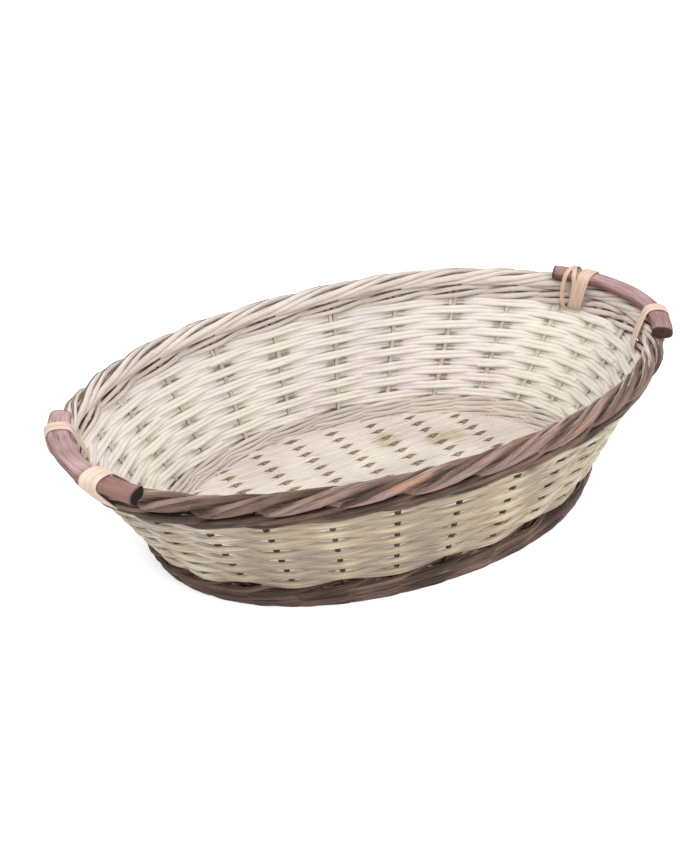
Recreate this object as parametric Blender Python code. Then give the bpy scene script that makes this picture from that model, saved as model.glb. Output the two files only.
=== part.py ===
"""Oval willow basket: woven wall on 27 bent stakes, waled foot and rim, rod border, lashed handles.

Lengths are in millimetres until they become mesh points. X is the long way, Z is up, and the foot
stands on Z = 0. A place on the wall is given by its stake number, which may be a fraction, by its
height above the ground and by its distance out from the wall's middle surface.
"""
import math

import bmesh
import bpy
from mathutils import Vector

MM = 0.001
UP = Vector((0.0, 0.0, 1.0))

# Wall: the oval through the stakes, at the ground and at the middle of the border
FOOT_HALF_LENGTH = 141.5
FOOT_HALF_WIDTH = 91.0
RIM_HALF_LENGTH = 201.6
RIM_HALF_WIDTH = 117.4
BORDER_HEIGHT = 92.4
END_DIP = 2.1
DIP_FULL_ANGLE = math.radians(34.0)
DIP_END_ANGLE = math.radians(66.0)

# Stakes: 27 is odd, so one weaver alternates, and a multiple of 3, so the wales close
STAKES = 27
FIRST_STAKE_ANGLE = math.radians(12.5)
CROWDING = 0.06
CROWDED_ACROSS_FROM = math.radians(80.0)
STAKE_RADIUS = 2.5
STAKE_SIDES = 6
TAIL_LENGTH = 12.0
TAIL_BEND = 1.5
TAIL_DROP = 1.0
TAIL_RADIUS = 1.8

# Clearances: between neighbours, round a stake, and where rods cross at a slant
GAP = 0.3
PASS_GAP = 0.45
CROSS_GAP = 0.65

# Foot wale: three rods woven together, in two rounds
FOOT_ROD_RADIUS = 2.4
FOOT_ROUNDS = 2
FOOT_FLAT = 0.4
WALE_SIDES = 5

# Rim wale: the same weave with thinner rods, one round
RIM_ROD_RADIUS = 1.5

# Border: each stake's top is laid down over the next ones, nearly once round a three-rod rope
BORDER_ROD_RADIUS = 2.25
BORDER_HALF_WIDTH = 6.0
BORDER_TWIST = math.radians(312.0)
BORDER_STEPS = 8
BORDER_BEND = 4.6
BEND_STEPS = 3

# Side weave: one flat weaver that climbs a row at each round
WEAVER_HEIGHT = 4.15
WEAVER_THICKNESS = 2.4
ROW_GAP = 0.4
CLIMB_FROM_STAKE = 12
CLIMB_STAKES = 3
LASHING_SLOT = 2.2

# Base: parallel sticks with a flat weaver going to and fro across them
BASE_HEIGHT = 6.6
STICK_RADIUS = 2.8
STICK_SIDES = 8
STICK_SPACING = 29.0
STICK_PAIRS = 4
STICK_TIP_RADIUS = 1.3
STICK_TIP_HEIGHT = 6.0
STICK_TIP_INSET = 8.6
STICK_TAPER_INSET = 16.0
BASE_WEAVER_WIDTH = 5.0
BASE_WEAVER_THICKNESS = 2.2
BASE_ROW_GAP = 0.4
BASE_INSET = 12.7

# Handles: flat oval bars bowed along the border, each held by two cane lashings
HANDLE_WIDTH = 13.5
HANDLE_THICKNESS = 7.6
HANDLE_ROUNDING = 0.75
HANDLE_SIDES = 10
HANDLE_STEPS = 10
HANDLE_OVERHANG = 1.9
RIGHT_HANDLE = {"side": 1, "length": 117.0, "bow": 21.0, "centre": -4.5}
LEFT_HANDLE = {"side": -1, "length": 106.0, "bow": 15.5, "centre": -6.0}
CANE_WIDTH = 3.4
CANE_THICKNESS = 1.4
CANE_TURNS = 2.2
CANE_PITCH = 3.7
CURVE_STEPS = 10
LASHINGS = {
    "lashing_right_back": (RIGHT_HANDLE, 0.5),
    "lashing_right_front": (RIGHT_HANDLE, -2.4),
    "lashing_left_back": (LEFT_HANDLE, 11.4),
    "lashing_left_front": (LEFT_HANDLE, 13.5),
}

# Heights that follow from the sizes above
BORDER_HALF_HEIGHT = (2.0 * BORDER_ROD_RADIUS + CROSS_GAP) / math.sqrt(3.0)
BORDER_TOP = BORDER_HEIGHT + BORDER_HALF_HEIGHT + BORDER_ROD_RADIUS
BORDER_BOTTOM = BORDER_HEIGHT - BORDER_HALF_HEIGHT - BORDER_ROD_RADIUS


def clear_scene():
    for thing in list(bpy.data.objects):
        bpy.data.objects.remove(thing, do_unlink=True)


def smooth(share):
    share = min(max(share, 0.0), 1.0)
    return share * share * (3.0 - 2.0 * share)


def stake_angle(stake):
    """Angle of a stake on the oval; the stakes stand a little closer on one long side."""
    even = FIRST_STAKE_ANGLE + 2.0 * math.pi * stake / STAKES
    return even + CROWDING * math.sin(even - CROWDED_ACROSS_FROM)


def dip_factor(angle):
    """The rim dips a little at both ends, under the handles."""
    from_end = abs(math.asin(math.sin(angle)))
    share = smooth((DIP_END_ANGLE - from_end) / (DIP_END_ANGLE - DIP_FULL_ANGLE))
    return 1.0 - END_DIP / BORDER_HEIGHT * share


def wall_frame(stake, height):
    """Point on the wall's middle surface, the level direction out of it, and how far it leans."""
    angle = stake_angle(stake)
    share = height / BORDER_HEIGHT
    half_length = FOOT_HALF_LENGTH + (RIM_HALF_LENGTH - FOOT_HALF_LENGTH) * share
    half_width = FOOT_HALF_WIDTH + (RIM_HALF_WIDTH - FOOT_HALF_WIDTH) * share
    cos, sin = math.cos(angle), math.sin(angle)
    middle = Vector((half_length * cos, half_width * sin, height * dip_factor(angle)))
    outward = Vector((cos / half_length, sin / half_width, 0.0)).normalized()
    flare_x = (RIM_HALF_LENGTH - FOOT_HALF_LENGTH) * cos
    flare_y = (RIM_HALF_WIDTH - FOOT_HALF_WIDTH) * sin
    lean = math.atan2(outward.x * flare_x + outward.y * flare_y, BORDER_HEIGHT)
    return middle, outward, lean


def wall_point(stake, height, out=0.0):
    middle, outward, _ = wall_frame(stake, height)
    return middle + outward * out


def bay_width(stake, height):
    return (wall_point(stake + 0.5, height) - wall_point(stake - 0.5, height)).length


def pass_offset(stake, height, clear, reach, side):
    """Level distance at which a rod passes a stake, so that its slanted runs stay clear of it.

    The rod comes from and goes to the other side of the wall over the reach, given in bays. Half
    a bay takes it to the middle of the wall, and a whole bay all the way across. The wall curves
    inward on both sides of the stake, which steepens the runs of an outer pass.
    """
    middle, outward, lean = wall_frame(stake, height)
    neighbours = (wall_point(stake + reach, height) + wall_point(stake - reach, height)) / 2.0
    curve = (middle - neighbours).dot(outward)
    level_clear = clear / math.cos(lean)
    swing = level_clear * (2.0 if reach == 1.0 else 1.0)
    slope = max(swing + side * curve, 0.0) / (bay_width(stake, height) * reach)
    return side * level_clear * math.sqrt(1.0 + slope * slope)


def material(name, colour, roughness):
    """Principled material; the colour is given as it shows on a screen, 0 to 255."""
    made = bpy.data.materials.new(name)
    made.use_nodes = True
    shader = made.node_tree.nodes["Principled BSDF"]
    linear = [((c / 255.0 + 0.055) / 1.055) ** 2.4 for c in colour]
    shader.inputs["Base Color"].default_value = (*linear, 1.0)
    shader.inputs["Roughness"].default_value = roughness
    shader.inputs["Metallic"].default_value = 0.0
    made.diffuse_color = (*linear, 1.0)
    return made


def loft(name, rings, closed, look):
    """Skin a row of rings, each a loop of as many points, into one closed body."""
    mesh = bmesh.new()
    loops = [[mesh.verts.new(point * MM) for point in ring] for ring in rings]
    pairs = list(zip(loops, loops[1:]))
    if closed:
        pairs.append((loops[-1], loops[0]))
    else:
        mesh.faces.new(loops[0])
        mesh.faces.new(loops[-1])
    for near, far in pairs:
        for a in range(len(near)):
            b = (a + 1) % len(near)
            mesh.faces.new((near[a], near[b], far[b], far[a]))
    bmesh.ops.recalc_face_normals(mesh, faces=mesh.faces)
    data = bpy.data.meshes.new(name)
    mesh.to_mesh(data)
    mesh.free()
    data.materials.append(look)
    data.shade_smooth()
    data.set_sharp_from_angle(angle=math.radians(75.0))
    made = bpy.data.objects.new(name, data)
    bpy.context.scene.collection.objects.link(made)
    made.parent = bpy.data.objects["basket"]
    return made


def directions(points, closed):
    """Unit direction at each point of a path."""
    count = len(points)
    found = []
    for i in range(count):
        ahead = points[(i + 1) % count] if closed or i + 1 < count else points[i]
        behind = points[i - 1] if closed or i > 0 else points[i]
        found.append((ahead - behind).normalized())
    return found


def level_rings(points, closed, radius, sides):
    """Round rings along a path that never stands upright, with a flat side facing down."""
    rings = []
    for point, along in zip(points, directions(points, closed)):
        across = along.cross(UP).normalized()
        over = across.cross(along)
        ring = []
        for k in range(sides):
            turn = 2.0 * math.pi * (k + 0.5) / sides - math.pi / 2.0
            ring.append(point + across * (radius * math.cos(turn)) + over * (radius * math.sin(turn)))
        rings.append(ring)
    return rings


def carried_rings(points, radii, sides, first_across):
    """Round rings along any path, the section carried along it without twist."""
    rings = []
    across = first_across
    for point, along, radius in zip(points, directions(points, False), radii):
        across = (across - along * across.dot(along)).normalized()
        over = along.cross(across)
        turns = [2.0 * math.pi * k / sides for k in range(sides)]
        rings.append([point + (across * math.cos(t) + over * math.sin(t)) * radius for t in turns])
    return rings


def flat_ring(point, half, thick):
    """Corners of a flat section, from its half width and half thickness."""
    return [point - half - thick, point - half + thick, point + half + thick, point + half - thick]


def wale_path(first_stake, height, rod_radius):
    """One rod of a three-rod wale: inside one stake, then outside two, rising as it goes."""
    clear = STAKE_RADIUS + PASS_GAP + rod_radius
    rise = wale_half_height(rod_radius)
    points = []
    for start in range(first_stake, first_stake + STAKES, 3):
        inner = pass_offset(start, height, clear, 0.5, -1)
        outer = pass_offset(start + 1, height, clear, 0.5, 1)
        last_outer = pass_offset(start + 2, height, clear, 0.5, 1)
        points.append(wall_point(start, height, inner))
        points.append(wall_point(start + 0.5, height - rise))
        points.append(wall_point(start + 1.0, height - rise, outer))
        points.append(wall_point(start + 1.5, height, (outer + last_outer) / 2.0))
        points.append(wall_point(start + 2.0, height + rise, last_outer))
        points.append(wall_point(start + 2.5, height + rise))
    return points


def wale_half_height(rod_radius):
    """Rise of a wale's rods above and below its middle, so that neighbours pass clear."""
    across = STAKE_RADIUS + PASS_GAP + rod_radius
    apart = 2.0 * rod_radius + CROSS_GAP
    return apart * across / math.sqrt(4.0 * across * across - apart * apart)


def foot_wale_heights():
    rise = wale_half_height(FOOT_ROD_RADIUS)
    first = rise + FOOT_ROD_RADIUS * math.cos(math.pi / WALE_SIDES) - FOOT_FLAT
    step = 2.0 * rise + 2.0 * FOOT_ROD_RADIUS + GAP
    return [first + step * n for n in range(FOOT_ROUNDS)]


def foot_wale_top():
    return foot_wale_heights()[-1] + wale_half_height(FOOT_ROD_RADIUS) + FOOT_ROD_RADIUS


def rim_wale_height():
    return BORDER_BOTTOM - GAP - RIM_ROD_RADIUS - wale_half_height(RIM_ROD_RADIUS)


def rim_wale_bottom():
    return rim_wale_height() - wale_half_height(RIM_ROD_RADIUS) - RIM_ROD_RADIUS


def make_wales(look):
    for number, height in enumerate(foot_wale_heights()):
        for rod in range(3):
            path = wale_path(rod + number, height, FOOT_ROD_RADIUS)
            rings = level_rings(path, True, FOOT_ROD_RADIUS, WALE_SIDES)
            for point in [point for ring in rings for point in ring]:
                point.z = max(point.z, 0.0)
            loft(f"foot_wale_{number + 1}_{rod + 1}", rings, True, look)
    for rod in range(3):
        path = wale_path(rod, rim_wale_height(), RIM_ROD_RADIUS)
        rings = level_rings(path, True, RIM_ROD_RADIUS, WALE_SIDES)
        loft(f"rim_wale_{rod + 1}", rings, True, look)


def tail_height():
    """The stake tails run in between the two lowest rounds of the foot wale."""
    heights = foot_wale_heights()
    return (heights[0] + heights[1]) / 2.0


def stake_path(stake):
    """A stake from its tail in the base, up the wall and over into the border, with its radii."""
    corner, outward, _ = wall_frame(stake, tail_height())
    laid = BORDER_HEIGHT - BORDER_HALF_HEIGHT
    bay = bay_width(stake, laid)
    points = [
        corner - outward * TAIL_LENGTH - UP * TAIL_DROP,
        corner - outward * TAIL_BEND,
        wall_point(stake, tail_height() + TAIL_BEND),
    ]
    radii = [TAIL_RADIUS, STAKE_RADIUS, STAKE_RADIUS]
    for n in range(BEND_STEPS):
        turn = math.pi / 2.0 * n / BEND_STEPS
        onward = BORDER_BEND * (1.0 - math.cos(turn)) / bay
        points.append(wall_point(stake + onward, laid - BORDER_BEND * (1.0 - math.sin(turn))))
        radii.append(STAKE_RADIUS if n == 0 else BORDER_ROD_RADIUS)
    for n in range(1, BORDER_STEPS + 1):
        turn = BORDER_TWIST * n / BORDER_STEPS
        passed = 3.0 * turn / (2.0 * math.pi)
        middle = wall_point(stake + passed, BORDER_HEIGHT, BORDER_HALF_WIDTH * math.sin(turn))
        points.append(middle - UP * (BORDER_HALF_HEIGHT * math.cos(turn)))
        radii.append(BORDER_ROD_RADIUS)
    return points, radii


def make_stakes(look):
    for stake in range(STAKES):
        points, radii = stake_path(stake)
        _, outward, _ = wall_frame(stake, 0.0)
        rings = carried_rings(points, radii, STAKE_SIDES, UP.cross(outward))
        loft(f"stake_{stake + 1:02d}", rings, False, look)


def first_row_height():
    """The lowest row clears the foot wale also at the ends, where it is tilted the most."""
    end_lean = math.atan2(RIM_HALF_LENGTH - FOOT_HALF_LENGTH, BORDER_HEIGHT)
    tilted_down = WEAVER_THICKNESS / 2.0 * math.sin(end_lean)
    return foot_wale_top() + GAP + WEAVER_HEIGHT / 2.0 + tilted_down


def row_count():
    room = rim_wale_bottom() - LASHING_SLOT - WEAVER_HEIGHT / 2.0 - first_row_height()
    return int(room / (WEAVER_HEIGHT + ROW_GAP)) + 1


def make_side_weave(look):
    """One weaver, in front of a stake and behind the next, a row higher after each round."""
    rows = row_count()
    pitch = WEAVER_HEIGHT + ROW_GAP
    first = first_row_height()
    clear = STAKE_RADIUS + PASS_GAP + WEAVER_THICKNESS / 2.0
    rings = []
    for count in range(rows * STAKES - CLIMB_STAKES + 1):
        stake = CLIMB_FROM_STAKE + CLIMB_STAKES + count
        full, into = divmod(count, STAKES)
        climb = smooth((into - (STAKES - CLIMB_STAKES)) / CLIMB_STAKES)
        height = first + pitch * (full + climb)
        side = 1 if count % 2 else -1
        middle, outward, lean = wall_frame(stake, height)
        up_wall = outward * math.sin(lean) + UP * math.cos(lean)
        off_wall = outward * math.cos(lean) - UP * math.sin(lean)
        half = up_wall * (WEAVER_HEIGHT / 2.0 / math.cos(lean) * dip_factor(stake_angle(stake)))
        thick = off_wall * (WEAVER_THICKNESS / 2.0)
        point = middle + outward * pass_offset(stake, height, clear, 1.0, side)
        rings.append(flat_ring(point, half, thick))
    loft("side_weave", rings, False, look)


def base_oval(inset):
    """Half length and half width of the oval of the base, a little inside the wall."""
    share = BASE_HEIGHT / BORDER_HEIGHT
    half_length = FOOT_HALF_LENGTH + (RIM_HALF_LENGTH - FOOT_HALF_LENGTH) * share
    half_width = FOOT_HALF_WIDTH + (RIM_HALF_WIDTH - FOOT_HALF_WIDTH) * share
    return half_length - inset, half_width - inset


def base_half_width(x, inset):
    """Half width of the base at a place along its length."""
    half_length, half_width = base_oval(inset)
    return half_width * math.sqrt(max(1.0 - (x / half_length) ** 2, 0.0))


def base_half_length(y, inset):
    half_length, half_width = base_oval(inset)
    return half_length * math.sqrt(max(1.0 - (y / half_width) ** 2, 0.0))


def stick_places():
    return [STICK_SPACING * (n + 0.5) for n in range(-STICK_PAIRS, STICK_PAIRS)]


def make_base_sticks(look):
    """Sticks across the base, their shaved tips under the stake tails and against the foot wale."""
    for number, x in enumerate(stick_places()):
        rings = []
        for inset, height, radius in (
            (STICK_TIP_INSET, STICK_TIP_HEIGHT, STICK_TIP_RADIUS),
            (BASE_INSET, STICK_TIP_HEIGHT, STICK_TIP_RADIUS),
            (STICK_TAPER_INSET, BASE_HEIGHT, STICK_RADIUS),
        ):
            half = min(base_half_width(x - radius, inset), base_half_width(x + radius, inset))
            ends = [Vector((x, -half, height)), Vector((x, half, height))]
            near, far = level_rings(ends, False, radius, STICK_SIDES)
            rings = rings[: len(rings) // 2] + [near, far] + rings[len(rings) // 2 :]
        loft(f"base_stick_{number + 1}", rings, False, look)


def flat_rings(points, width, thickness):
    """Flat rectangular rings along a path that turns square corners in the level."""
    rings = []
    for i, point in enumerate(points):
        ahead = points[min(i + 1, len(points) - 1)] - points[min(i, len(points) - 2)]
        behind = points[max(i, 1)] - points[max(i - 1, 0)]
        left_ahead = UP.cross(ahead).normalized()
        left_behind = UP.cross(behind).normalized()
        mitre = (left_ahead + left_behind) / (1.0 + left_ahead.dot(left_behind))
        half, thick = mitre * (width / 2.0), UP * (thickness / 2.0)
        rings.append(flat_ring(point, half, thick))
    return rings


def base_turn(y, next_y):
    """Where the base weaver turns from one row to the next: at the oval, or short of a stick."""
    half = BASE_WEAVER_WIDTH / 2.0
    turn = base_half_length(max(abs(y), abs(next_y)) + half, BASE_INSET) - half
    for x in stick_places():
        if x - STICK_RADIUS - GAP - half < turn < x + STICK_RADIUS + BASE_WEAVER_WIDTH:
            turn = x - STICK_RADIUS - GAP - half
    return turn


def make_base_weave(look):
    """A flat weaver to and fro along X, over one stick and under the next, turning at the oval."""
    pitch = BASE_WEAVER_WIDTH + BASE_ROW_GAP
    rows = int(2.0 * (base_half_width(0.0, BASE_INSET) - BASE_WEAVER_WIDTH) / pitch)
    clear = STICK_RADIUS + GAP + BASE_WEAVER_THICKNESS / 2.0
    lift = clear * STICK_SPACING / math.sqrt(STICK_SPACING ** 2 - 4.0 * clear ** 2)
    path = []
    for row in range(rows):
        y = (row - (rows - 1) / 2.0) * pitch
        way = 1 if row % 2 == 0 else -1
        start = -way * base_turn(y, y - pitch)
        end = way * base_turn(y, y + pitch)
        path.append(Vector((start, y, BASE_HEIGHT)))
        for number, x in list(enumerate(stick_places()))[::way]:
            if min(start, end) < x < max(start, end):
                side = 1 if (number + row) % 2 == 0 else -1
                path.append(Vector((x, y, BASE_HEIGHT + side * lift)))
        path.append(Vector((end, y, BASE_HEIGHT)))
    loft("base_weave", flat_rings(path, BASE_WEAVER_WIDTH, BASE_WEAVER_THICKNESS), False, look)


def handle_base():
    """Height of the underside of the handles, on top of the dipped border."""
    return BORDER_HEIGHT - END_DIP + BORDER_HALF_HEIGHT + BORDER_ROD_RADIUS + GAP


def handle_arc(handle):
    """Centre and radius of the bow of a handle, seen from above."""
    half = handle["length"] / 2.0
    radius = (half * half + handle["bow"] ** 2) / (2.0 * handle["bow"])
    reach = RIM_HALF_LENGTH + HANDLE_OVERHANG
    return Vector((handle["side"] * (reach - radius), handle["centre"], 0.0)), radius


def flattened(value):
    """Push a sine or cosine outward, which squares a round section a little."""
    return math.copysign(abs(value) ** HANDLE_ROUNDING, value)


def handle_outline(out, half_width):
    """Points round a handle's rounded section, wide way along out."""
    points = []
    for k in range(HANDLE_SIDES):
        turn = 2.0 * math.pi * (k + 0.5) / HANDLE_SIDES
        wide = flattened(math.cos(turn)) * half_width
        high = flattened(math.sin(turn)) * HANDLE_THICKNESS / 2.0
        points.append(out * wide + UP * high)
    return points


def make_handle(name, handle, look):
    centre, radius = handle_arc(handle)
    reach = math.asin(handle["length"] / 2.0 / radius)
    rings = []
    for n in range(HANDLE_STEPS + 1):
        turn = reach * (2.0 * n / HANDLE_STEPS - 1.0)
        out = Vector((handle["side"] * math.cos(turn), math.sin(turn), 0.0))
        middle = centre + out * radius + UP * (handle_base() + HANDLE_THICKNESS / 2.0)
        rings.append([middle + point for point in handle_outline(out, HANDLE_WIDTH / 2.0)])
    loft(name, rings, False, look)


def taut_outline(points):
    """The points that a tight loop round all the points touches, in order round the loop."""
    ordered = sorted(points)
    outline = []
    for line in (ordered, ordered[::-1]):
        side = []
        for point in line:
            while len(side) > 1:
                (ax, ay), (bx, by) = side[-2], side[-1]
                if (bx - ax) * (point[1] - ay) - (by - ay) * (point[0] - ax) > 0.0:
                    break
                side.pop()
            side.append(point)
        outline += side[:-1]
    return outline


def oval_points(centre_out, centre_up, half_out, half_up):
    """Corners of a polygon drawn round an oval, so that its sides touch the oval."""
    grow = 1.0 / math.cos(math.pi / CURVE_STEPS)
    points = []
    for k in range(CURVE_STEPS):
        turn = 2.0 * math.pi * (k + 0.5) / CURVE_STEPS
        out = centre_out + half_out * grow * math.cos(turn)
        points.append((out, centre_up + half_up * grow * math.sin(turn)))
    return points


def lashing_outline(handle, stake):
    """Tight outline round handle, border and rim wale, as distances out and up from the wall."""
    middle, outward, lean = wall_frame(stake, BORDER_HEIGHT)
    centre, radius = handle_arc(handle)
    spoke = Vector((middle.x - centre.x, middle.y - centre.y, 0.0))
    handle_out = (spoke.normalized() * radius - spoke).dot(outward)
    skew = spoke.angle(outward)
    wound_half = CANE_PITCH * CANE_TURNS / 2.0 + CANE_WIDTH / 2.0
    handle_half = HANDLE_WIDTH / 2.0 / math.cos(skew) + wound_half * math.tan(skew)
    slack = GAP + CANE_THICKNESS / 2.0
    wale, _, _ = wall_frame(stake, rim_wale_height())
    wale_half_up = wale_half_height(RIM_ROD_RADIUS) + RIM_ROD_RADIUS
    wale_half_out = (STAKE_RADIUS + PASS_GAP + 2.0 * RIM_ROD_RADIUS) / math.cos(lean) + GAP
    border_half_up = BORDER_HALF_HEIGHT + BORDER_ROD_RADIUS
    border_half_out = BORDER_HALF_WIDTH + BORDER_ROD_RADIUS
    handle_up = handle_base() + HANDLE_THICKNESS / 2.0
    points = oval_points(0.0, middle.z, border_half_out + slack, border_half_up + slack)
    wale_out = (wale - middle).dot(outward)
    points += oval_points(wale_out, wale.z, wale_half_out + slack, wale_half_up + slack)
    for point in handle_outline(Vector((1.0, 0.0, 0.0)), 1.0):
        up = handle_up + point.z * (1.0 + slack / (HANDLE_THICKNESS / 2.0))
        points.append((handle_out + point.x * (handle_half + slack), up))
    return taut_outline(points)


def make_lashing(name, handle, stake, look):
    """Cane wound round handle, border and rim wale, through the slot above the side weave."""
    middle, outward, _ = wall_frame(stake, BORDER_HEIGHT)
    along = UP.cross(outward)
    outline = lashing_outline(handle, stake)
    corners = len(outline)
    lengths = [math.dist(outline[k], outline[(k + 1) % corners]) for k in range(corners)]
    start = max(range(corners), key=lambda k: -outline[k][0])
    rings = []
    wound = 0.0
    for n in range(int(CANE_TURNS * corners) + 1):
        k = (start + n) % corners
        out, up = outline[k]
        point = Vector((middle.x, middle.y, 0.0)) + outward * out + UP * up
        point += along * (CANE_PITCH * (wound / sum(lengths) - CANE_TURNS / 2.0))
        wound += lengths[k]
        before, after = outline[k - 1], outline[(k + 1) % corners]
        chord = outward * (after[0] - before[0]) + UP * (after[1] - before[1])
        facing = chord.cross(along).normalized()
        half, thick = along * (CANE_WIDTH / 2.0), facing * (CANE_THICKNESS / 2.0)
        rings.append(flat_ring(point, half, thick))
    loft(name, rings, False, look)


def build():
    clear_scene()
    basket = bpy.data.objects.new("basket", None)
    bpy.context.scene.collection.objects.link(basket)
    brown = material("brown_willow", (122, 96, 84), 0.7)
    pale = material("pale_willow", (214, 204, 184), 0.75)
    stick = material("base_willow", (205, 194, 170), 0.75)
    wood = material("handle_wood", (150, 108, 102), 0.55)
    cane = material("lashing_cane", (226, 200, 172), 0.6)
    make_stakes(brown)
    make_wales(brown)
    make_side_weave(pale)
    make_base_sticks(stick)
    make_base_weave(pale)
    make_handle("handle_right", RIGHT_HANDLE, wood)
    make_handle("handle_left", LEFT_HANDLE, wood)
    for name, (handle, stake) in LASHINGS.items():
        make_lashing(name, handle, stake, cane)


build()
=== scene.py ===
import math
import random

import bmesh
import bpy
import numpy as np
from mathutils import Matrix, Vector


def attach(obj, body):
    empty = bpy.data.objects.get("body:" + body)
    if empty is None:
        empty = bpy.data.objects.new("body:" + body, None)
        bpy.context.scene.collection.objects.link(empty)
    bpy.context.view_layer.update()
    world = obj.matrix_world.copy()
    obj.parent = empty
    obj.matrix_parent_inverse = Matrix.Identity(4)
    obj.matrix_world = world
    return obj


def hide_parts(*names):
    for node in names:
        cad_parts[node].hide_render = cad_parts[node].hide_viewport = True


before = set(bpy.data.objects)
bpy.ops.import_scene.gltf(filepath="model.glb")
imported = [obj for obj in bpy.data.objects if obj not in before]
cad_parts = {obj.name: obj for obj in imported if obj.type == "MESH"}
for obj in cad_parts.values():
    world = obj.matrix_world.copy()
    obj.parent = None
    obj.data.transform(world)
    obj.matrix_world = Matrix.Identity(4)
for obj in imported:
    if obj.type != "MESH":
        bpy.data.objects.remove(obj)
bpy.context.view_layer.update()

# Photographer's table.
# A seamless white floor, a weak soft lamp overhead, a stronger one above and behind the camera and to
# its right, and white surroundings. A small lamp under the floor lights the underside.
scene = bpy.context.scene
scene.view_settings.view_transform = "Standard"

camera_data = bpy.data.cameras.new("photo_camera")
camera_data.lens = 67.9
camera_data.sensor_width = 36.0
camera_data.clip_start = 0.05
camera = bpy.data.objects.new("photo_camera", camera_data)
scene.collection.objects.link(camera)
camera.location = (-0.4775, -0.7338, 0.5558)
looking_at = Vector((-0.0142, 0.0093, 0.057))
camera.rotation_euler = (looking_at - camera.location).to_track_quat("-Z", "Y").to_euler()
scene.camera = camera


def soft_lamp(name, place, width, watts, colour):
    """A round lamp that shines at the middle of the basket."""
    lamp_data = bpy.data.lights.new(name, "AREA")
    lamp_data.shape = "DISK"
    lamp_data.size = width
    lamp_data.energy = watts
    lamp_data.color = colour
    lamp = bpy.data.objects.new(name, lamp_data)
    scene.collection.objects.link(lamp)
    lamp.location = place
    lamp.rotation_euler = (Vector((0.0, 0.0, 0.03)) - lamp.location).to_track_quat("-Z", "Y").to_euler()


soft_lamp("overhead_lamp", (-0.35, 0.05, 1.5), width=1.5, watts=9.0, colour=(1.0, 0.985, 0.97))
soft_lamp("front_lamp", (-0.2, -1.5, 1.22), width=1.7, watts=19.0, colour=(0.98, 0.985, 1.0))
soft_lamp("lamp_beneath", (0.0, 0.0, -0.1), width=0.22, watts=0.24, colour=(1.0, 1.0, 1.0))


def larger_of(tree, first, second):
    """A shader value that is the larger of two."""
    larger = tree.nodes.new("ShaderNodeMath")
    larger.operation = "MAXIMUM"
    tree.links.new(first, larger.inputs[0])
    tree.links.new(second, larger.inputs[1])
    return larger.outputs[0]


world = bpy.data.worlds.new("white_room")
scene.world = world
world.use_nodes = True
room = world.node_tree
room_path = room.nodes.new("ShaderNodeLightPath")
seen_directly = larger_of(room, room_path.outputs["Is Camera Ray"], room_path.outputs["Is Glossy Ray"])
room_strength = room.nodes.new("ShaderNodeMapRange")
room_strength.inputs["To Min"].default_value = 0.74
room_strength.inputs["To Max"].default_value = 1.0
room.links.new(seen_directly, room_strength.inputs["Value"])
background = room.nodes["Background"]
background.inputs["Color"].default_value = (1.0, 1.0, 1.0, 1.0)
room.links.new(room_strength.outputs["Result"], background.inputs["Strength"])

floor_mesh = bmesh.new()
bmesh.ops.create_grid(floor_mesh, x_segments=1, y_segments=1, size=6.0)
floor_data = bpy.data.meshes.new("white_floor")
floor_mesh.to_mesh(floor_data)
floor_mesh.free()
floor = bpy.data.objects.new("white_floor", floor_data)
scene.collection.objects.link(floor)
floor_paper = bpy.data.materials.new("white_paper")
floor_paper.use_nodes = True
paper = floor_paper.node_tree
paper.nodes.remove(paper.nodes["Principled BSDF"])
paper_face = paper.nodes.new("ShaderNodeBsdfDiffuse")
paper_face.inputs["Color"].default_value = (0.86, 0.86, 0.86, 1.0)
paper_path = paper.nodes.new("ShaderNodeLightPath")
glow_strength = paper.nodes.new("ShaderNodeMath")
glow_strength.operation = "MULTIPLY"
glow_strength.inputs[1].default_value = 0.55
paper.links.new(paper_path.outputs["Is Camera Ray"], glow_strength.inputs[0])
paper_glow = paper.nodes.new("ShaderNodeEmission")
paper.links.new(glow_strength.outputs[0], paper_glow.inputs["Strength"])
paper_above = paper.nodes.new("ShaderNodeAddShader")
paper.links.new(paper_face.outputs[0], paper_above.inputs[0])
paper.links.new(paper_glow.outputs[0], paper_above.inputs[1])
paper_side = paper.nodes.new("ShaderNodeNewGeometry")
lets_through = larger_of(paper, paper_side.outputs["Backfacing"], paper_path.outputs["Is Shadow Ray"])
clear_beneath = paper.nodes.new("ShaderNodeBsdfTransparent")
one_way = paper.nodes.new("ShaderNodeMixShader")
paper.links.new(lets_through, one_way.inputs["Fac"])
paper.links.new(paper_above.outputs[0], one_way.inputs[1])
paper.links.new(clear_beneath.outputs[0], one_way.inputs[2])
paper.links.new(one_way.outputs[0], paper.nodes["Material Output"].inputs["Surface"])
floor_data.materials.append(floor_paper)


# Stakes with the border.
# 27 brown willow rods, each pushed into the base, kinked up into the wall and laid down over the next
# three as a strand of the border. A thinner rod lies beside each strand, and cut ends fill the rope.
MM = 0.001
STAKES = 27
FIRST_STAKE_ANGLE = math.radians(12.5)
GROUND_HALF_LENGTH = 141.5
GROUND_HALF_WIDTH = 91.0
FLARE_LENGTHWISE = 60.1
FLARE_WIDTHWISE = 26.4
HALFWAY_UP_HALF_LENGTH = 172.0
HALFWAY_UP_HALF_WIDTH = 104.0
BORDER_HEIGHT = 92.4
DIP_AT_ENDS = 2.1
seed = random.Random(27)


def step_between(low, high, value):
    """0 at low, 1 at high, and a soft slope from one to the other."""
    share = np.clip((value - low) / (high - low), 0.0, 1.0)
    return share * share * (3.0 - 2.0 * share)


def unit(ways):
    """Directions of length 1."""
    return ways / np.linalg.norm(ways, axis=-1, keepdims=True)


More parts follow.
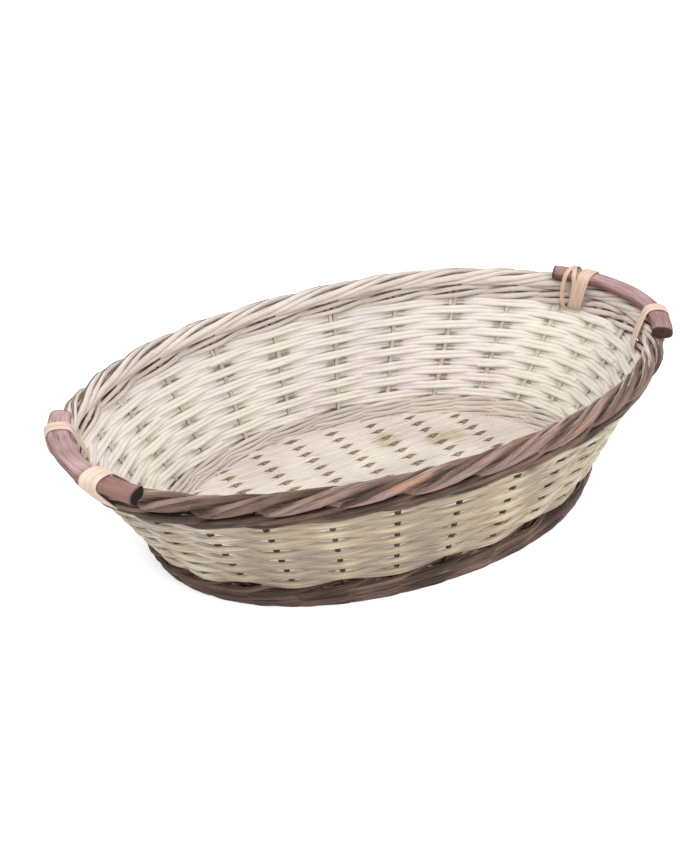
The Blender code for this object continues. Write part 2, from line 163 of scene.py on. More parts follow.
def half_lengths(height):
    """Half the length and half the width of the leaning wall at a height."""
    share = height / BORDER_HEIGHT
    return GROUND_HALF_LENGTH + FLARE_LENGTHWISE * share, GROUND_HALF_WIDTH + FLARE_WIDTHWISE * share


def wall_place(stake, height, out=0.0, square=0.0):
    """Places on the wall in millimetres, by stake number, height and distance from its middle.

    The distance out is level, and the distance square is at right angles to the leaning wall. The
    oval is a little uneven, as it came off the maker's lap, and its border dips towards the ends.
    """
    given = [np.asarray(value, float) for value in (stake, height, out, square)]
    stake, height, out, square = np.broadcast_arrays(*given)
    even = FIRST_STAKE_ANGLE + 2.0 * math.pi * stake / STAKES
    angle = even + 0.06 * np.sin(even - math.radians(80.0))
    cos, sin = np.cos(angle), np.sin(angle)
    half_length, half_width = half_lengths(height)
    out_x, out_y = cos / half_length, sin / half_width
    size = np.hypot(out_x, out_y)
    out_x, out_y = out_x / size, out_y / size
    slope = (out_x * FLARE_LENGTHWISE * cos + out_y * FLARE_WIDTHWISE * sin) / BORDER_HEIGHT
    upright = 1.0 / np.sqrt(1.0 + slope * slope)

    share = height / BORDER_HEIGHT
    bulge_at_rim = 0.85 * np.sin(2.0 * angle) + 1.27 * np.sin(3.0 * angle)
    bulge_at_foot = -0.83 * np.sin(2.0 * angle)
    uneven = share * bulge_at_rim + (1.0 - share) * bulge_at_foot - 0.7 * np.cos(4.0 * angle)
    at_ends = step_between(66.0, 34.0, np.degrees(abs(np.arcsin(sin))))
    dip = 1.0 - DIP_AT_ENDS / BORDER_HEIGHT * at_ends
    slant = share * (1.67 * sin - 0.62 * cos)

    level = out + square * upright + uneven
    up = height * dip - square * slope * upright + slant
    return np.stack([half_length * cos + out_x * level, half_width * sin + out_y * level, up], -1)


def wall_lean(stake, height):
    """Cosine of the wall's lean at a place."""
    rise = wall_place(stake, height + 1.0) - wall_place(stake, height - 1.0)
    return rise[..., 2] / np.linalg.norm(rise, axis=-1)


def outward_at(places):
    """Level directions out of the basket at places given in millimetres."""
    return unit(places * np.array([1.0 / HALFWAY_UP_HALF_LENGTH ** 2, 1.0 / HALFWAY_UP_HALF_WIDTH ** 2, 0.0]))


def inward_part(places, facing):
    """How far the skin faces into the basket: 1 when it looks straight in, -1 when straight out."""
    return -np.sum(facing * outward_at(places), axis=1)


def length_along(points):
    """How far along a path each of its points lies."""
    steps = np.linalg.norm(np.diff(points, axis=0), axis=1)
    return np.concatenate([[0.0], np.cumsum(steps)])


def eased(points, rounds):
    """Soften the corners of a path."""
    points = points.copy()
    for _ in range(rounds):
        points[1:-1] = (points[:-2] + 2.0 * points[1:-1] + points[2:]) / 4.0
    return points


def wander(along, size, shortest, longest):
    """A smooth random wave along a rod, as grown wood has."""
    wave = np.zeros_like(along)
    for _ in range(3):
        period = seed.uniform(shortest, longest)
        wave += np.sin(2.0 * math.pi * along / period + seed.uniform(0.0, 6.28)) / 3.0
    return wave * size


def bud_scars(along, apart):
    """Small swellings where buds grew, as a factor on a rod's radius."""
    swell = np.ones_like(along)
    place = seed.uniform(0.0, apart)
    while place < along[-1]:
        swell += 0.1 * np.exp(-(((along - place) / 1.7) ** 2))
        place += apart * seed.uniform(0.6, 1.4)
    return swell


def grown_radii(along, shares, radii, waviness, longest_wave, buds_apart):
    """Radii along a rod, given at some shares of its length, with its waves and buds."""
    plain = np.interp(along / along[-1], shares, radii)
    return plain * ((1.0 + wander(along, waviness, 12.0, longest_wave)) * bud_scars(along, buds_apart))


def keep_on_skin(mesh, name, values):
    """Keep a number, or a place, for each point of a skin, where its finish reads it."""
    if np.ndim(values) == 2:
        mesh.attributes.new(name, "FLOAT_VECTOR", "POINT").data.foreach_set("vector", values.ravel())
    else:
        mesh.attributes.new(name, "FLOAT", "POINT").data.foreach_set("value", values)


def finished_piece(name, mesh, finish):
    """An object in the scene with this mesh and finish."""
    mesh.materials.clear()
    mesh.materials.append(finish)
    piece = bpy.data.objects.new(name, mesh)
    scene.collection.objects.link(piece)
    return piece


def swept_rods(name, rods, sides):
    """A mesh of round rods with open ends, each given as points, radii and tones."""
    curve = bpy.data.curves.new(name, "CURVE")
    curve.dimensions = "3D"
    curve.bevel_depth = MM
    curve.bevel_resolution = (sides - 4) // 2
    for points, radii, _ in rods:
        spline = curve.splines.new("POLY")
        spline.points.add(len(points) - 1)
        spline.points.foreach_set("co", np.column_stack([points * MM, np.ones(len(points))]).ravel())
        spline.points.foreach_set("radius", radii)
    drawn = bpy.data.objects.new(name + "_path", curve)
    scene.collection.objects.link(drawn)
    seen = bpy.context.evaluated_depsgraph_get()
    mesh = bpy.data.meshes.new_from_object(drawn.evaluated_get(seen), depsgraph=seen)
    bpy.data.objects.remove(drawn)
    bpy.data.curves.remove(curve)
    return mesh


def rod_piece(name, rods, sides, finish, washed_and_lit, nodes, shade_across, recessed=None):
    """Round rods, each given as points, radii and tones, swept into one piece that stands for nodes.

    Each point of the skin keeps four attributes for its finish: its place along and around the
    rod, the rod's tone, how much limewash reached it, with some painted light, and how much painted
    shade lies there. The painted shade darkens the creases where the skin lies at right angles to
    the directions given for shade, one for each point of the rods, and the hollows where it faces
    along the directions given for recesses, where the limewash is also thinned as painted shade.
    """
    mesh = swept_rods(name, rods, sides)
    skin = np.empty(len(mesh.vertices) * 3)
    mesh.vertices.foreach_get("co", skin)
    skin = skin.reshape(-1, 3)
    centres = np.repeat(np.concatenate([points for points, _, _ in rods]) * MM, sides, axis=0)
    facing = skin - centres
    thickness = np.linalg.norm(facing, axis=1)
    facing /= thickness[:, None]

    along = [length_along(points) * MM + seed.uniform(0.0, 9.0) for points, _, _ in rods]
    along = np.repeat(np.concatenate(along), sides)
    turn = np.tile(2.0 * math.pi * np.arange(sides) / sides, len(along) // sides)
    place = np.column_stack([along, thickness * np.cos(turn), thickness * np.sin(turn)])
    keep_on_skin(mesh, "rod_place", place)
    tones = [np.full(len(points), 1.0) * tone for points, _, tone in rods]
    keep_on_skin(mesh, "rod_tone", np.repeat(np.concatenate(tones), sides))

    lime_and_light = washed_and_lit(skin / MM, facing)
    # Painted shade in the creases between rods and in the hollows of the weave.
    bulge = np.repeat(shade_across, sides, axis=0)
    painted_shade = 1.0 - step_between(0.3, 0.85, abs(np.sum(facing * bulge, axis=1)))
    painted_shade *= step_between(0.6, 0.98, np.linalg.norm(bulge, axis=1))
    if recessed is not None:
        recess_shade = step_between(0.1, 0.8, np.sum(facing * np.repeat(recessed, sides, axis=0), axis=1))
        painted_shade = np.maximum(painted_shade, recess_shade)
        lime_and_light = lime_and_light * (1.0 - 0.6 * recess_shade)
    keep_on_skin(mesh, "limewash_and_light", lime_and_light)
    keep_on_skin(mesh, "painted_shade", painted_shade)

    cut = bmesh.new()
    cut.from_mesh(mesh)
    open_ends = [edge for edge in cut.edges if edge.is_boundary]
    bmesh.ops.holes_fill(cut, edges=open_ends, sides=sides)
    bmesh.ops.recalc_face_normals(cut, faces=cut.faces)
    cut.to_mesh(mesh)
    cut.free()
    mesh.shade_smooth()
    mesh.set_sharp_from_angle(angle=math.radians(60.0))
    piece = finished_piece(name, mesh, finish)
    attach(piece, "root")
    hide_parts(*nodes)


def as_colour(red, green, blue):
    """A colour as it shows on a screen, 0 to 255, in the linear values that a shader takes."""
    return tuple(((c / 255.0 + 0.055) / 1.055) ** 2.4 for c in (red, green, blue)) + (1.0,)


def stretched(tree, place, stretch, kind):
    """A texture node of some kind that reads a place stretched along each axis."""
    mapping = tree.nodes.new("ShaderNodeMapping")
    mapping.inputs["Scale"].default_value = stretch
    tree.links.new(place, mapping.inputs["Vector"])
    texture = tree.nodes.new(kind)
    texture.inputs["Scale"].default_value = 1.0
    tree.links.new(mapping.outputs["Vector"], texture.inputs["Vector"])
    return texture


def noise_in(tree, place, stretch, detail, roughness):
    """A soft random value over a stretched place."""
    noise = stretched(tree, place, stretch, "ShaderNodeTexNoise")
    noise.inputs["Detail"].default_value = detail
    noise.inputs["Roughness"].default_value = roughness
    return noise.outputs["Fac"]


def ranged(tree, value, low, high, to_low=0.0, to_high=1.0):
    """The value brought softly from low and high to to_low and to_high."""
    spread = tree.nodes.new("ShaderNodeMapRange")
    spread.interpolation_type = "SMOOTHSTEP"
    spread.inputs["From Min"].default_value = low
    spread.inputs["From Max"].default_value = high
    spread.inputs["To Min"].default_value = to_low
    spread.inputs["To Max"].default_value = to_high
    tree.links.new(value, spread.inputs["Value"])
    return spread.outputs["Result"]


def sum_of(tree, first, second, share):
    """first plus second times share."""
    added = tree.nodes.new("ShaderNodeMath")
    added.operation = "MULTIPLY_ADD"
    tree.links.new(second, added.inputs[0])
    added.inputs[1].default_value = share
    tree.links.new(first, added.inputs[2])
    return added.outputs[0]


def blended(tree, share, first, second):
    """A colour node that goes from the first to the second colour by a share."""
    blend = tree.nodes.new("ShaderNodeMix")
    blend.data_type = "RGBA"
    tree.links.new(share, blend.inputs["Factor"])
    for socket_name, colour in (("A", first), ("B", second)):
        if isinstance(colour, tuple):
            blend.inputs[socket_name].default_value = colour
        else:
            tree.links.new(colour, blend.inputs[socket_name])
    return blend.outputs["Result"]


bark = bpy.data.node_groups.new("willow_bark", "ShaderNodeTree")
bark.interface.new_socket("Rod Place", in_out="INPUT", socket_type="NodeSocketVector")
bark.interface.new_socket("Basket Place", in_out="INPUT", socket_type="NodeSocketVector")
for socket_name in ("Streaks", "Patches", "Clouds", "Scars", "Relief"):
    bark.interface.new_socket(socket_name, in_out="OUTPUT", socket_type="NodeSocketFloat")
bark_in = bark.nodes.new("NodeGroupInput")
bark_out = bark.nodes.new("NodeGroupOutput")
rod_place, basket_place = bark_in.outputs["Rod Place"], bark_in.outputs["Basket Place"]
streaks = ranged(bark, noise_in(bark, rod_place, (55.0, 1500.0, 1500.0), 4.0, 0.6), 0.3, 0.7)
patches = ranged(bark, noise_in(bark, rod_place, (30.0, 260.0, 260.0), 3.0, 0.6), 0.3, 0.7)
clouds = ranged(bark, noise_in(bark, basket_place, (22.0, 22.0, 22.0), 2.0, 0.5), 0.32, 0.68)
scar_cells = stretched(bark, rod_place, (26.0, 330.0, 330.0), "ShaderNodeTexVoronoi")
scars = ranged(bark, scar_cells.outputs["Distance"], 0.22, 0.1)
bark.links.new(streaks, bark_out.inputs["Streaks"])
bark.links.new(patches, bark_out.inputs["Patches"])
bark.links.new(clouds, bark_out.inputs["Clouds"])
bark.links.new(scars, bark_out.inputs["Scars"])
bark.links.new(sum_of(bark, streaks, scars, -0.6), bark_out.inputs["Relief"])


def willow(name, bare, limed_and_lit, marks_and_shade, wash_starts, wash_covers, roughness, streaked, cloudy):
    """Willow finish: bare and limed are its colours without and with limewash, darkest rod first.

    Scars, streaks and painted shade have the colour marked, and streaked is how strong the streaks are.
    The second palette also shows painted light, where the limewash attribute carries it.
    cloudy is how much of a rod's tone comes from soft clouds over the whole basket.
    """
    made = bpy.data.materials.new(name)
    made.use_nodes = True
    tree = made.node_tree
    shader = tree.nodes["Principled BSDF"]
    own = {}
    for attribute in ("rod_place", "rod_tone", "limewash_and_light", "painted_shade"):
        own[attribute] = tree.nodes.new("ShaderNodeAttribute")
        own[attribute].attribute_name = attribute
    around = tree.nodes.new("ShaderNodeTexCoord")
    surface = tree.nodes.new("ShaderNodeGroup")
    surface.node_tree = bark
    tree.links.new(own["rod_place"].outputs["Vector"], surface.inputs["Rod Place"])
    tree.links.new(around.outputs["Object"], surface.inputs["Basket Place"])

    tone = ranged(tree, own["rod_tone"].outputs["Fac"], -0.2, 1.2, 0.0, 0.85 - cloudy)
    tone = sum_of(tree, tone, surface.outputs["Clouds"], cloudy)
    tone = sum_of(tree, tone, surface.outputs["Patches"], 0.15)
    colours = []
    for palette in (bare, limed_and_lit):
        ramp = tree.nodes.new("ShaderNodeValToRGB")
        tree.links.new(tone, ramp.inputs["Fac"])
        while len(ramp.color_ramp.elements) < len(palette):
            ramp.color_ramp.elements.new(0.5)
        for number, (element, shade) in enumerate(zip(ramp.color_ramp.elements, palette)):
            element.position = 0.15 + 0.7 * number / (len(palette) - 1)
            element.color = as_colour(*shade)
        colours.append(ramp.outputs["Color"])

    wash = sum_of(tree, own["limewash_and_light"].outputs["Fac"], surface.outputs["Streaks"], 0.4)
    wash = sum_of(tree, wash, surface.outputs["Patches"], 0.2)
    wash = ranged(tree, wash, wash_starts, wash_covers)
    coat = blended(tree, wash, *colours)

    # The skin is darkened by streaks, scars and the painted shade kept on the skin.
    dark = ranged(tree, surface.outputs["Streaks"], 0.45, 0.0, 0.0, streaked)
    dark = sum_of(tree, dark, surface.outputs["Scars"], 0.5)
    dark = sum_of(tree, dark, own["painted_shade"].outputs["Fac"], 0.6)
    showing = tree.nodes.new("ShaderNodeMath")
    showing.operation = "MULTIPLY"
    tree.links.new(dark, showing.inputs[0])
    tree.links.new(ranged(tree, wash, 0.0, 1.0, 1.0, 0.45), showing.inputs[1])
    skin_colour = blended(tree, showing.outputs[0], coat, as_colour(*marks_and_shade))
    tree.links.new(skin_colour, shader.inputs["Base Color"])

    rough = ranged(tree, surface.outputs["Streaks"], 0.0, 1.0, roughness + 0.12, roughness - 0.08)
    tree.links.new(rough, shader.inputs["Roughness"])
    bump = tree.nodes.new("ShaderNodeBump")
    bump.inputs["Strength"].default_value = 0.5
    bump.inputs["Distance"].default_value = 0.25 * MM
    tree.links.new(surface.outputs["Relief"], bump.inputs["Height"])
    tree.links.new(bump.outputs["Normal"], shader.inputs["Normal"])
    shader.inputs["Specular IOR Level"].default_value = 0.25
    return made


brown_willow = willow(
    "brown_willow",
    bare=((68, 52, 44), (100, 79, 68), (130, 106, 94), (148, 123, 112), (160, 134, 125), (174, 134, 112)),
    limed_and_lit=((204, 191, 181), (217, 205, 195), (225, 214, 204), (231, 221, 205)),
    marks_and_shade=(44, 30, 25),
    wash_starts=0.6,
    wash_covers=0.95,
    roughness=0.55,
    streaked=0.5,
    cloudy=0.2,
)


def wash_and_light_on_border(places, facing):
    """Limewash brushed on from inside, thinner towards the front of the border: partly limewash and partly
    painted light, which makes the far border lighter than the near one.
    """
    # Painted light: the border is made lighter towards the back.
    from_front = 0.4 + 0.6 * step_between(-95.0, -15.0, places[:, 1])
    return step_between(-0.25, 0.75, inward_part(places, facing) + 0.25 * facing[:, 2]) * from_front


KINK_HEIGHT = 10.4
TAIL_OUT = [-10.0, -6.5, -4.4, -2.2, -0.6]
TAIL_UP = [4.7, 5.7, 6.6, 7.6, 9.3]
WALL_BOTTOM = 12.0
STRAND_START = BORDER_HEIGHT - 3.5
BEND_RADIUS = 4.6
BAY_AT_BORDER = 44.0
BAYS_CROSSED = 3.0
STRAND_POINTS = 84
ROPE_HALF_HEIGHT = 3.8
ROPE_HALF_WIDTH_AT_ENDS = 3.8
WIDER_ON_LONG_SIDES = 1.4
MATE_FARTHER_OUT = 0.5
MATE_HALF_HEIGHT = 4.3
MATE_AHEAD = 0.78
ROUND_THE_ROPE = math.radians(358.0)
TUCK_STARTS = math.radians(235.0)
RUDDY_STAKES = (17, 18, 20)
CORE_POINTS = 28
SHADE_ON_STAKE_SIDES = 0.78
SHADE_IN_ROPE = 0.8


def round_the_rope(passed, turned, half_width, half_height):
    """A strand's way round the middle of the border rope: from beneath out, over and back inside."""
    places = wall_place(passed, BORDER_HEIGHT, half_width * np.sin(turned))
    places[:, 2] -= half_height * np.cos(turned)
    return places


for number in range(STAKES):
    tail = wall_place(number, KINK_HEIGHT, TAIL_OUT)
    tail[:, 2] = TAIL_UP
    upright = wall_place(number, np.linspace(WALL_BOTTOM, STRAND_START - BEND_RADIUS, 22))
    bend = np.radians(np.arange(15.0, 90.0, 15.0))
    bend_along = BEND_RADIUS * (1.0 - np.cos(bend)) / BAY_AT_BORDER
    over = wall_place(number + bend_along, STRAND_START - BEND_RADIUS * (1.0 - np.sin(bend)))
    turn = np.linspace(0.06, 1.0, STRAND_POINTS) * ROUND_THE_ROPE
    tucked = turn - 0.45 * np.maximum(turn - TUCK_STARTS, 0.0)
    passed = number + BAYS_CROSSED * turn / (2.0 * math.pi)
    on_long_side = abs(np.sin(FIRST_STAKE_ANGLE + 2.0 * math.pi * passed / STAKES))
    spread = (ROPE_HALF_WIDTH_AT_ENDS + WIDER_ON_LONG_SIDES * on_long_side) * seed.uniform(0.94, 1.04)
    laid_over = round_the_rope(passed, tucked, spread, ROPE_HALF_HEIGHT)
    path = eased(np.concatenate([tail, upright, over, laid_over]), 2)
    along = length_along(path)
    share = along / along[-1]
    thick = [1.3, 1.5, 1.6, 1.8, 2.6, 2.6, 2.3]
    radii = grown_radii(along, [0.0, 0.06, 0.12, 0.4, 0.46, 0.7, 1.0], thick, 0.05, 60.0, 42.0)
    path[:, 2] += wander(along, 0.2, 25.0, 70.0) * share
    tone = 0.9 if number in RUDDY_STAKES else seed.uniform(0.25, 0.7)
    tone = tone * step_between(0.38, 0.46, share)
    # Painted shade: the stakes' inner and outer faces in the wall, which show in the hollows of the weave,
    # and the sides of each border strand, where it presses on its neighbours, are darkened.
    sideways = np.cross(unit(np.gradient(path, axis=0)), outward_at(path))
    crowded = sideways * SHADE_ON_STAKE_SIDES * step_between(14.0, 26.0, path[:, 2])[:, None]
    rope_middle = wall_place(passed, BORDER_HEIGHT)
    crowded[-STRAND_POINTS:] = SHADE_IN_ROPE * unit(laid_over - rope_middle)

    ahead = tucked + MATE_AHEAD * step_between(0.0, 1.3, turn)
    beside = round_the_rope(passed, ahead, spread + MATE_FARTHER_OUT, MATE_HALF_HEIGHT)
    mate_start = wall_place(number + 0.07, [STRAND_START - below for below in (14.0, 9.5, 5.0)])
    mate = eased(np.concatenate([mate_start, beside]), 2)
    mate_radii = grown_radii(length_along(mate), [0.0, 0.2, 0.6, 1.0], [1.5, 1.8, 1.8, 1.2], 0.06, 50.0, 34.0)
    mate_crowded = np.concatenate([np.zeros((3, 3)), SHADE_IN_ROPE * unit(beside - rope_middle)])

    core = wall_place(np.linspace(number - 0.3, number + 1.2, CORE_POINTS), BORDER_HEIGHT)
    core[:, 2] += wander(length_along(core), 0.5, 20.0, 60.0)
    rods = [
        (path, radii, tone),
        (mate, mate_radii, seed.uniform(0.1, 0.8)),
        (core, np.full(CORE_POINTS, 2.3), 0.3),
    ]
    rod_piece(
        f"stake_rod_{number + 1:02d}",
        rods,
        sides=12,
        finish=brown_willow,
        washed_and_lit=wash_and_light_on_border,
        nodes=[f"stake_{number + 1:02d}"],
        shade_across=np.concatenate([crowded, mate_crowded, np.zeros((CORE_POINTS, 3))]),
    )


# Foot wale.
# Two rounds of brown willow, each of three strands of three thin rods. A strand goes inside one
# stake and outside the next two. A rod's skin passes 1.4 mm from a stake's middle, partly inside it.
SKIN_TO_STAKE_MIDDLE = 1.4
WALE_TAPER = 0.06


def curve_through(phase, knots, values):
    """Smooth curve through equally spaced knots."""
    place = (phase - knots[0]) / (knots[1] - knots[0])
    at = np.clip(place.astype(int), 1, len(knots) - 3)
    t = place - at
    a, b, c, d = (values[at + k] for k in (-1, 0, 1, 2))
    return b + 0.5 * t * (c - a + t * (2.0 * a - 5.0 * b + 4.0 * c - d + t * (3.0 * (b - c) + d - a)))


def wale_rods(first_height, apart, rise, radius, reach, lead):
    """One rod of each of the three strands of a round; a strand starts on the inside.

    The rods of a strand lie apart on the outside, and fan out farther on the inside. The round
    starts at the stake numbered lead. The knots stand half a bay apart.
    """
    inside = SKIN_TO_STAKE_MIDDLE + radius
    outside = reach - radius
    knots = np.arange(-0.5, 4.01, 0.5)
    out_knots = np.array([0.4, -inside, 0.4, outside, outside + 0.2, outside, 0.4, -inside, 0.4, outside])
    up_knots = rise * np.array([1.0, 0.0, -1.0, -1.0, 0.0, 1.0, 1.0, 0.0, -1.0, -1.0])
    rods = []
    crowded = []
    for rod in range(3):
        stake = rod + lead + np.arange(-0.3, STAKES + 0.4, 1.0 / 18.0)
        phase = (stake - rod - lead) % 3.0
        out = curve_through(phase, knots, out_knots)
        up = curve_through(phase, knots, up_knots) + apart * (1.0 + 0.5 * np.maximum(-out / inside, 0.0))
        path = wall_place(stake, first_height + up, 0.0, out)
        along = length_along(path)
        radii = radius * np.interp(along / along[-1], [0.0, 1.0], [1.0 + WALE_TAPER, 1.0 - WALE_TAPER])
        radii *= (1.0 + wander(along, 0.05, 15.0, 80.0)) * bud_scars(along, 55.0)
        radii /= wall_lean(stake, first_height)
        path[:, 2] = np.maximum(path[:, 2] + wander(along, 0.15, 30.0, 90.0), radii)
        rods.append((path, radii, 0.35 * seed.random()))
        # Painted shade: the outer passes are darkened on their tops and bottoms, where they lie against the
        # rods above and below.
        crowded.append(outward_at(path) * np.clip(0.5 + 0.15 * out, 0.0, 0.85)[:, None])
    return rods, crowded


def wale_pieces(name, layers, washed_and_lit, node):
    """The three strands of one round, one piece to a strand; a layer is one rod of each strand."""
    for number in range(3):
        rods = [rods_of_layer[number] for rods_of_layer, _ in layers]
        crowded = np.concatenate([crowded_of_layer[number] for _, crowded_of_layer in layers])
        nodes = [f"{node}_{number + 1}"]
        rod_piece(f"{name}_{number + 1}", rods, 10, brown_willow, washed_and_lit, nodes, crowded)


def wash_on_foot(places, facing):
    """Limewash on the inside of the foot: all round the inner passes, on the backs of the others."""
    half_length, half_width = half_lengths(places[:, 2])
    from_middle = np.hypot(places[:, 0] / half_length, places[:, 1] / half_width)
    inner = step_between(1.022, 1.0, from_middle)
    return step_between(0.15, 0.75, inward_part(places, facing) + 0.1 * facing[:, 2] + 0.6 * inner)


for level, height, reach in ((1, 4.7, 6.5), (2, 11.9, 5.7)):
    layers = []
    for apart in (-2.2, 0.0, 2.2):
        layers.append(wale_rods(height, apart, rise=0.9, radius=1.5, reach=reach, lead=level - 1))
    wale_pieces(f"foot_rods_{level}", layers, wash_on_foot, f"foot_wale_{level}")


# Rim wale.
# One round of three pairs of thinner brown rods, woven as the foot is, which locks the top row of
# the wall before the border is laid over it.
RIM_WALE_HEIGHT = 83.6
layers = []
for apart in (-1.5, 1.5):
    layers.append(wale_rods(RIM_WALE_HEIGHT, apart, rise=1.9, radius=1.62, reach=6.1, lead=0))
wale_pieces("rim_rods", layers, wash_and_light_on_border, "rim_wale")


# Side weave.
# Peeled white willow, rods about 3 mm thick laid in pairs, in front of one stake and behind the
# next, in one run up the wall. A new rod is let in on the inside where one runs out. The rods swing
# 1.6 mm to a side, which is less than a full crossing, so they lie partly inside the stakes.
ROW_PITCH = 4.84
FIRST_ROW = 18.9
WALL_ROWS = 13
START_STAKE = 15.0
BAY_ON_WALL = 38.0
WEAVE_STARTS = -2.1
WEAVE_ENDS = WALL_ROWS * STAKES - 0.9
CLIMB_STARTS = 24.0
SHORTEST_LAST_ROD = 8.0
JOIN_OVERLAP = 0.35
THINNED_AT_ENDS = 1.5
WAVE_DEPTH = 1.6
RIGHT_OF_PICTURE = (0.85, -0.53)

pale_willow = willow(
    "pale_willow",
    bare=((160, 147, 139), (174, 160, 141), (188, 173, 149), (218, 204, 176)),
    limed_and_lit=((228, 219, 218), (234, 225, 219), (236, 229, 220), (238, 232, 219)),
    marks_and_shade=(108, 90, 76),
    wash_starts=0.6,
    wash_covers=1.0,
    roughness=0.66,
    streaked=0.2,
    cloudy=0.36,
)


def light_round_the_corners(places):
    """How far places lie round towards the right and left ends of the near side, where painted light is laid
    on.
    """
    across = RIGHT_OF_PICTURE[0] * places[..., 0] + RIGHT_OF_PICTURE[1] * places[..., 1]
    return step_between(10.0, 150.0, across) + step_between(-10.0, -120.0, across)


def wash_inside_light_outside(places, facing):
    """Limewash on what can be seen from inside, and painted light on the outside round the corners."""
    inside = step_between(-0.4, 0.45, inward_part(places, facing) + 0.15 * facing[:, 2])
    return np.maximum(inside, 0.4 * light_round_the_corners(places))


weavers = []
bulges = []
recesses = []
for lift in (-1.0, 1.0):
    start = WEAVE_STARTS
    while start < WEAVE_ENDS:
        stop = start + 2.0 * seed.randint(8, 11)
        if stop > WEAVE_ENDS - SHORTEST_LAST_ROD:
            stop = WEAVE_ENDS
        first = max(start - JOIN_OVERLAP, WEAVE_STARTS)
        run = np.arange(first, min(stop + JOIN_OVERLAP, WEAVE_ENDS) + 0.01, 0.1)
        full_rounds, into_round = np.divmod(run, STAKES)
        climbed = full_rounds + step_between(CLIMB_STARTS, STAKES, into_round)
        height = FIRST_ROW + ROW_PITCH * climbed + lift * ROW_PITCH / 4.0
        stake = START_STAKE + run
        along = run * BAY_ON_WALL
        radii = np.interp(run, [start, stop], [1.66, 1.52]) / wall_lean(stake, height)
        radii = radii * (1.0 + wander(along, 0.06, 18.0, 120.0))
        whole = step_between(WEAVE_STARTS, WEAVE_STARTS + THINNED_AT_ENDS, run)
        whole = whole * step_between(WEAVE_ENDS, WEAVE_ENDS - THINNED_AT_ENDS, run)
        radii = radii * (0.35 + 0.65 * whole)
        wave = -np.cos(math.pi * run)
        joined = step_between(0.4, -0.35, run - start) - step_between(-0.4, 0.35, run - stop)
        square = WAVE_DEPTH * wave + 0.2 * lift + wander(along, 0.2, 30.0, 90.0) - 0.8 * abs(joined)
        height = height + wander(along, 0.14, 25.0, 110.0) + 0.5 * joined
        middle = wall_place(stake, height)
        # Painted highlights where the rods bulge over the stakes, and painted light round the corners of the
        # near side.
        tone = 0.45 * seed.random() + 0.55 * wave ** 2 + 0.45 * light_round_the_corners(middle)
        weavers.append((wall_place(stake, height, 0.0, square), radii, tone))
        outward = outward_at(middle)
        # Painted shade: the rods are darkened on their tops and bottoms near the stakes, and on the backs of
        # the outer passes, in the hollows of the weave.
        bulges.append(outward * np.maximum(abs(wave), 0.76)[:, None])
        recess_shade_strength = np.clip(0.58 + wander(along, 0.6, 50.0, 160.0), 0.15, 0.85)
        recesses.append(-outward * (step_between(0.5, 0.95, wave) * recess_shade_strength)[:, None])
        start = stop
rod_piece(
    "side_weave_rods",
    weavers,
    sides=8,
    finish=pale_willow,
    washed_and_lit=wash_inside_light_outside,
    nodes=["side_weave"],
    shade_across=np.concatenate(bulges),
    recessed=np.concatenate(recesses),
)


# Base.
# Eight parallel sticks across the oval, and pairs of peeled willow rods woven to and fro over one
# and under the next. The tails of the stakes lie on the ends of the sticks.
BASE_LEVEL = 6.6
BASE_HALF_LENGTH = 145.8
BASE_HALF_WIDTH = 92.9
STICKS = 8
STICK_SPACING = 29.0
LAST_STICK = STICK_SPACING * (STICKS - 1) / 2.0
STICK_INSET = 8.6
STICK_POINTS = 50
BASE_PITCH = 4.84
BASE_ROWS = 37
HALF_PAIR = 1.22
WORN_SPOTS = ((42.0, 50.0, 21.0, 15.0), (79.0, 33.0, 27.0, 17.0))

base_willow = willow(
    "base_willow",
    bare=((170, 156, 126), (190, 178, 146), (206, 194, 164), (218, 208, 180)),
    limed_and_lit=((210, 200, 190), (219, 209, 200), (225, 216, 207), (232, 223, 210)),
    marks_and_shade=(112, 96, 78),
    wash_starts=0.6,
    wash_covers=1.0,
    roughness=0.66,
    streaked=0.2,
    cloudy=0.5,
)


def wash_above(places, facing):
    """Limewash on the upper side of the base, worn thin in spots given by middle and half sizes."""
    wash = step_between(-0.2, 0.6, facing[:, 2])
    for x, y, half_x, half_y in WORN_SPOTS:
        from_spot = np.hypot((places[:, 0] - x) / half_x, (places[:, 1] - y) / half_y)
        wash -= 0.55 * (1.0 - step_between(0.35, 1.0, from_spot))
    return wash


def unwashed(places, facing):
    """The brush did not reach the sticks under the woven rods."""
    return np.zeros(len(places))


def half_chord(half_oval_along, across, half_oval_across):
    """Half the length of a line along an oval, at a distance across from its middle."""
    return half_oval_along * math.sqrt(1.0 - (across / half_oval_across) ** 2)


for number in range(STICKS):
    x = STICK_SPACING * number - LAST_STICK
    half = half_chord(BASE_HALF_WIDTH - STICK_INSET, x, BASE_HALF_LENGTH - STICK_INSET)
    y = np.linspace(-half, half, STICK_POINTS)
    path = np.column_stack([np.full(STICK_POINTS, x), y, np.full(STICK_POINTS, BASE_LEVEL)])
    path[:, 0] += wander(y, 0.4, 60.0, 150.0)
    from_end = half - abs(y)
    radii = np.interp(from_end, [0.0, 4.0, 8.0], [1.3, 1.4, 1.6]) * (1.0 + wander(y, 0.04, 20.0, 60.0))
    path[:, 2] -= np.interp(from_end, [0.0, 4.0, 8.0], [0.6, 0.6, 0.0])
    # Painted shade: the sticks are left bare and darkened all over, as they show only deep in the holes of
    # the base.
    rod_piece(
        f"base_stick_rod_{number + 1}",
        [(path, radii, 0.3 * seed.random())],
        sides=10,
        finish=base_willow,
        washed_and_lit=unwashed,
        nodes=[f"base_stick_{number + 1}"],
        shade_across=np.tile([0.0, 1.0, 0.0], (STICK_POINTS, 1)),
    )

